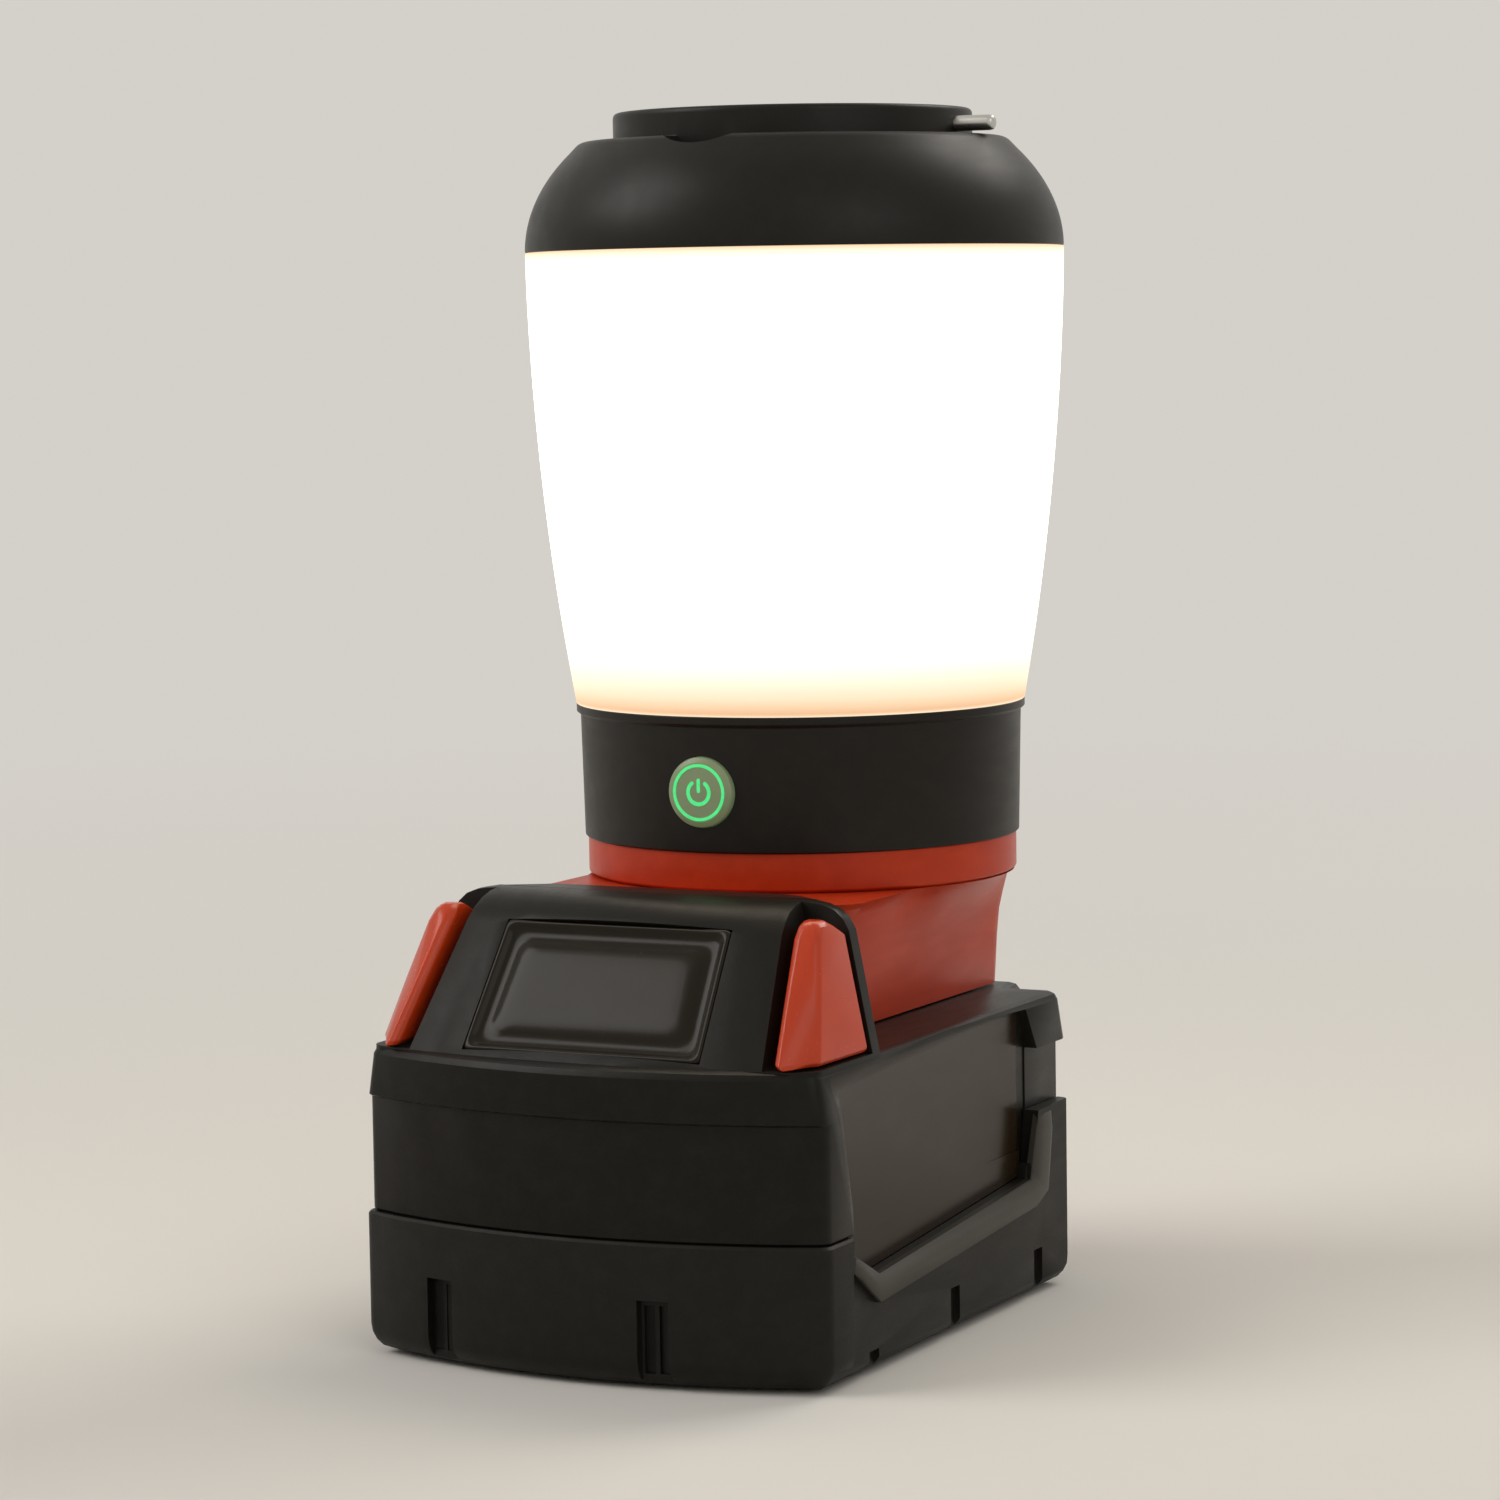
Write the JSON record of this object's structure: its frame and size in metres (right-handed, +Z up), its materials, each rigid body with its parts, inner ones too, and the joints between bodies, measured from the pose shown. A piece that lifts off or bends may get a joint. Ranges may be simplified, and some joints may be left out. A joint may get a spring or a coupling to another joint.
{
  "type": "camping lantern",
  "caption": "Area lantern that slides onto a battery pack: domed cap with folding wire bail, glowing frosted lens, switch band with power button, red base and latched black pack.",
  "frame": {"origin": "middle of the overall footprint, on the surface the pack stands on", "axes": "+Z up, -Y toward the front with the power button and the pack's hood, +X to the side where the wire bail's end stands out"},
  "size_m": [0.088, 0.1268, 0.1935],
  "materials": {
    "cap": "satin moulded black",
    "wire": "bright drawn steel wire",
    "gasket": "soft black seal",
    "lens": "frosted translucent moulding, lit from inside",
    "white": "diffuse white reflector",
    "aluminium": "plain extruded and turned",
    "white_board": "white solder mask",
    "led": "warm phosphor",
    "band": "satin moulded black",
    "button": "translucent olive, symbol lit green",
    "switch": "moulded switch body",
    "board": "green circuit board",
    "red_satin": "satin red moulding",
    "red_gloss": "glossy red moulding",
    "black_nylon": "glass-filled black",
    "pack_black": "finely textured black shell",
    "panel_black": "semi-gloss black inlay",
    "brass": "formed contact strip",
    "nickel": "nickel strip",
    "tray": "moulded cell tray",
    "cell_sleeve": "shrink sleeve"
  },
  "bodies": {
    "pack": {"terminal_tower": "black_nylon", "upper_shell": "pack_black", "hood_panel": "panel_black", "lower_shell": "pack_black", "cell_tray": "tray", "link_right": "nickel", "link_left": "nickel", "pack_board": "board", "cell_1": "cell_sleeve", "cell_2": "cell_sleeve", "cell_3": "cell_sleeve", "cell_4": "cell_sleeve", "cell_5": "cell_sleeve", "cell_6": "cell_sleeve", "cell_7": "cell_sleeve", "cell_8": "cell_sleeve", "cell_9": "cell_sleeve", "cell_10": "cell_sleeve"},
    "latch_r": {"latch_right": "red_gloss"},
    "latch_l": {"latch_left": "red_gloss"},
    "lamp": {"top_cap": "cap", "cap_gasket": "gasket", "lens": "lens", "lens_gasket": "gasket", "top_reflector": "white", "lower_reflector": "white", "led_column": "aluminium", "led_board_1": "white_board", "led_board_2": "white_board", "led_board_3": "white_board", "led_board_4": "white_board", "led_row_1": "led", "led_row_2": "led", "led_row_3": "led", "led_row_4": "led", "lamp_deck": "aluminium", "switch_band": "band", "tact_switch": "switch", "switch_board": "board", "driver_board": "board", "base_collar": "red_satin", "base_shell": "red_satin", "rail_shoe": "black_nylon", "contact_block": "black_nylon", "contact_blades": "brass"},
    "button": {"power_button": "button"},
    "bail": {"hanging_bail": "wire"}
  },
  "joints": [
    {"name": "lamp_slide", "type": "slide", "parent": "pack", "child": "lamp", "axis": [0, 1, 0], "range_m": [0, 0.056]},
    {"name": "latch_right_press", "type": "slide", "parent": "pack", "child": "latch_r", "axis": [-1, 0, 0], "range_m": [0, 0.0018], "stiffness_N_per_m": 1500, "springref_m": -0.002},
    {"name": "latch_left_press", "type": "slide", "parent": "pack", "child": "latch_l", "axis": [1, 0, 0], "range_m": [0, 0.0018], "stiffness_N_per_m": 1500, "springref_m": -0.002},
    {"name": "power_press", "type": "slide", "parent": "lamp", "child": "button", "axis": [0, 1, 0], "range_m": [0, 0.0007], "stiffness_N_per_m": 2000, "springref_m": -0.0008},
    {"name": "bail_fold", "type": "hinge", "parent": "lamp", "child": "bail", "pos_m": [0, 0.0194, 0.1906], "axis": [-1, 0, 0], "range_deg": [0, 180]}
  ]
}
